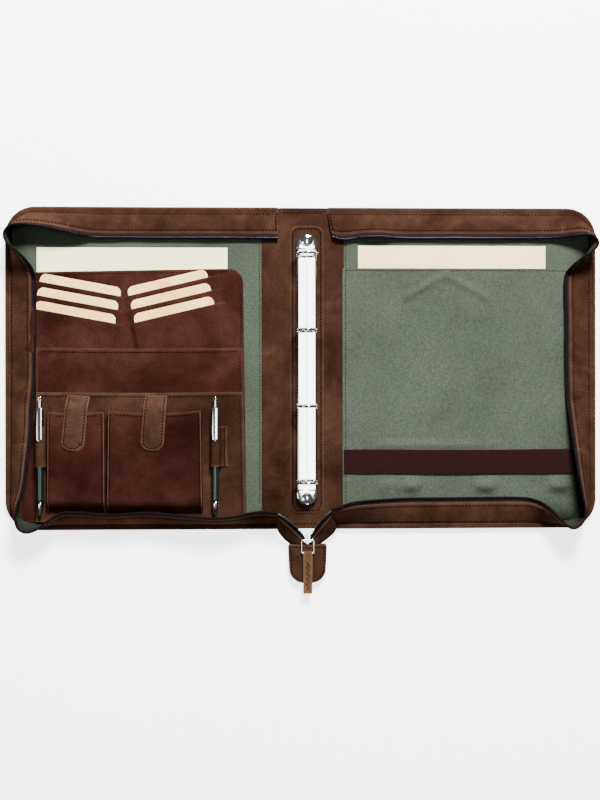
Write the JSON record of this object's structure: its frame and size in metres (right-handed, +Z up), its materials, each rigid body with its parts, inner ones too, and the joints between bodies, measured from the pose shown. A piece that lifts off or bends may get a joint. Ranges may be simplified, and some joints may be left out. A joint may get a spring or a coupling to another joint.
{
  "type": "ring binder organiser case",
  "caption": "Leather document case that zips round, lying open: ring mechanism on the spine, organiser pockets on one cover, cloth pocket on the other.",
  "frame": {"origin": "middle of the spine, on the surface that the open case lies on", "axes": "+X across the open case towards the right cover, +Y towards its top edge, +Z up out of the case"},
  "size_m": [0.625, 0.408, 0.0328],
  "materials": {
    "leather": "semi-gloss waxed",
    "pull_leather": "matt, worn",
    "board": "raw greyboard",
    "lining": "twill",
    "elastic": "satin ribbed",
    "zip_tape": "woven",
    "chrome": "polished",
    "pull_metal": "satin",
    "paper": "matt",
    "card": "satin",
    "pen_barrel": "metallic gloss",
    "pen_metal": "polished"
  },
  "bodies": {
    "spine": {"spine_leather": "leather", "spine_board": "board", "spine_facing": "leather", "mechanism_patch": "leather", "mechanism_channel": "chrome", "mechanism_rivets": "chrome", "tail_strips": "leather", "tail_zip_tapes": "zip_tape", "end_patch": "leather"},
    "left_cover": {"left_cover_leather": "leather", "left_cover_board": "board", "left_lining": "lining", "left_facing_margin": "leather", "left_gusset_border": "leather", "left_corner_zips": "zip_tape", "organiser_panel": "leather", "card_slots": "leather", "slip_pockets": "leather", "small_pocket": "leather", "large_pocket": "leather", "pen_loops": "leather"},
    "right_cover": {"right_cover_leather": "leather", "right_cover_board": "board", "right_lining": "lining", "right_facing_margin": "leather", "right_gusset_border": "leather", "right_corner_zips": "zip_tape", "right_pocket_panel": "lining", "elastic_band": "elastic"},
    "left_rings": {"left_ring_blade": "chrome", "left_ring_halves": "chrome"},
    "right_rings": {"right_ring_blade": "chrome", "right_ring_halves": "chrome"},
    "slider": {"zip_slider": "pull_metal"},
    "pull_ring": {"pull_ring": "pull_metal"},
    "pull_tab": {"pull_tab": "pull_leather"},
    "small_flap": {"small_pocket_flap": "leather"},
    "large_flap": {"large_pocket_flap": "leather"},
    "left_pen": {"left_pen_barrel": "pen_barrel", "left_pen_metal": "pen_metal"},
    "left_button": {"left_pen_button": "pen_metal"},
    "right_pen": {"right_pen_barrel": "pen_barrel", "right_pen_metal": "pen_metal"},
    "right_button": {"right_pen_button": "pen_metal"},
    "left_cards": {"left_slot_cards": "card"},
    "right_cards": {"right_slot_cards": "card"},
    "left_sheet": {"left_paper": "paper"},
    "right_sheet": {"right_paper": "paper"},
    "left_top_wall": {"left_top_gusset": "leather", "left_top_zip": "zip_tape"},
    "left_outer_wall": {"left_outer_gusset": "leather", "left_outer_zip": "zip_tape"},
    "left_bottom_wall": {"left_bottom_gusset": "leather", "left_bottom_zip": "zip_tape"},
    "right_top_wall": {"right_top_gusset": "leather", "right_top_zip": "zip_tape"},
    "right_outer_wall": {"right_outer_gusset": "leather", "right_outer_zip": "zip_tape"},
    "right_bottom_wall": {"right_bottom_gusset": "leather", "right_bottom_zip": "zip_tape"}
  },
  "joints": [
    {"name": "left_cover_fold", "type": "hinge", "parent": "spine", "child": "left_cover", "pos_m": [-0.028, 0, 0.0044], "axis": [0, 1, 0], "range_deg": [0, 90]},
    {"name": "right_cover_fold", "type": "hinge", "parent": "spine", "child": "right_cover", "pos_m": [0.028, 0, 0.0044], "axis": [0, -1, 0], "range_deg": [0, 90]},
    {"name": "left_top_wall_rise", "type": "hinge", "parent": "left_cover", "child": "left_top_wall", "pos_m": [-0.16, 0.164, 0.0059], "axis": [-1, 0, 0], "range_deg": [0, 76]},
    {"name": "left_outer_wall_rise", "type": "hinge", "parent": "left_cover", "child": "left_outer_wall", "pos_m": [-0.3065, 0, 0.0059], "axis": [0, -1, 0], "range_deg": [0, 73]},
    {"name": "left_bottom_wall_rise", "type": "hinge", "parent": "left_cover", "child": "left_bottom_wall", "pos_m": [-0.16, -0.164, 0.0059], "axis": [1, 0, 0], "range_deg": [0, 22]},
    {"name": "right_top_wall_rise", "type": "hinge", "parent": "right_cover", "child": "right_top_wall", "pos_m": [0.16, 0.164, 0.0059], "axis": [-1, 0, 0], "range_deg": [0, 76]},
    {"name": "right_outer_wall_rise", "type": "hinge", "parent": "right_cover", "child": "right_outer_wall", "pos_m": [0.3065, 0, 0.0059], "axis": [0, 1, 0], "range_deg": [0, 76]},
    {"name": "right_bottom_wall_rise", "type": "hinge", "parent": "right_cover", "child": "right_bottom_wall", "pos_m": [0.16, -0.164, 0.0059], "axis": [1, 0, 0], "range_deg": [0, 76]},
    {"name": "left_rings_open", "type": "hinge", "parent": "spine", "child": "left_rings", "pos_m": [-0.0051, 0, 0.0076], "axis": [0, 1, 0], "range_deg": [-12, 0]},
    {"name": "right_rings_open", "type": "hinge", "parent": "spine", "child": "right_rings", "pos_m": [0.0135, 0, 0.0076], "axis": [0, 1, 0], "range_deg": [0, 12]},
    {"name": "slider_run", "type": "slide", "parent": "spine", "child": "slider", "axis": [0, 1, 0], "range_m": [0, 0.004]},
    {"name": "pull_ring_lift", "type": "hinge", "parent": "slider", "child": "pull_ring", "pos_m": [0.0048, -0.1814, 0.01], "axis": [-1, 0, 0], "range_deg": [0, 60]},
    {"name": "pull_tab_lift", "type": "hinge", "parent": "pull_ring", "child": "pull_tab", "pos_m": [0.0048, -0.195, 0.01], "axis": [-1, 0, 0], "range_deg": [0, 45]},
    {"name": "small_flap_open", "type": "hinge", "parent": "left_cover", "child": "small_flap", "pos_m": [-0.2375, -0.0285, 0.0126], "axis": [1, 0, 0], "range_deg": [-140, 0]},
    {"name": "large_flap_open", "type": "hinge", "parent": "left_cover", "child": "large_flap", "pos_m": [-0.156, -0.0285, 0.0126], "axis": [1, 0, 0], "range_deg": [-140, 0]},
    {"name": "left_pen_out", "type": "slide", "parent": "left_cover", "child": "left_pen", "axis": [0, -1, 0], "range_m": [-0.095, 0]},
    {"name": "left_pen_click", "type": "slide", "parent": "left_pen", "child": "left_button", "axis": [0, 1, 0], "range_m": [-0.0035, 0], "stiffness_N_per_m": 600},
    {"name": "right_pen_out", "type": "slide", "parent": "left_cover", "child": "right_pen", "axis": [0, -1, 0], "range_m": [-0.095, 0]},
    {"name": "right_pen_click", "type": "slide", "parent": "right_pen", "child": "right_button", "axis": [0, 1, 0], "range_m": [-0.0035, 0], "stiffness_N_per_m": 600},
    {"name": "left_cards_out", "type": "slide", "parent": "left_cover", "child": "left_cards", "axis": [-0.1805, -0.9836, 0], "range_m": [-0.04, 0]},
    {"name": "right_cards_out", "type": "slide", "parent": "left_cover", "child": "right_cards", "axis": [-0.23, 0.9732, 0], "range_m": [0, 0.04]},
    {"name": "left_paper_out", "type": "slide", "parent": "left_cover", "child": "left_sheet", "axis": [0, -1, 0], "range_m": [-0.03, 0]},
    {"name": "right_paper_out", "type": "slide", "parent": "right_cover", "child": "right_sheet", "axis": [0, -1, 0], "range_m": [-0.03, 0]}
  ],
  "couplings": [
    {"joint": "left_top_wall_rise", "follows": "left_cover_fold", "ratio": 0.84444},
    {"joint": "left_outer_wall_rise", "follows": "left_cover_fold", "ratio": 0.81111},
    {"joint": "left_bottom_wall_rise", "follows": "left_cover_fold", "ratio": 0.24444},
    {"joint": "right_top_wall_rise", "follows": "right_cover_fold", "ratio": 0.84444},
    {"joint": "right_outer_wall_rise", "follows": "right_cover_fold", "ratio": 0.84444},
    {"joint": "right_bottom_wall_rise", "follows": "right_cover_fold", "ratio": 0.84444},
    {"joint": "right_rings_open", "follows": "left_rings_open", "ratio": -1}
  ]
}
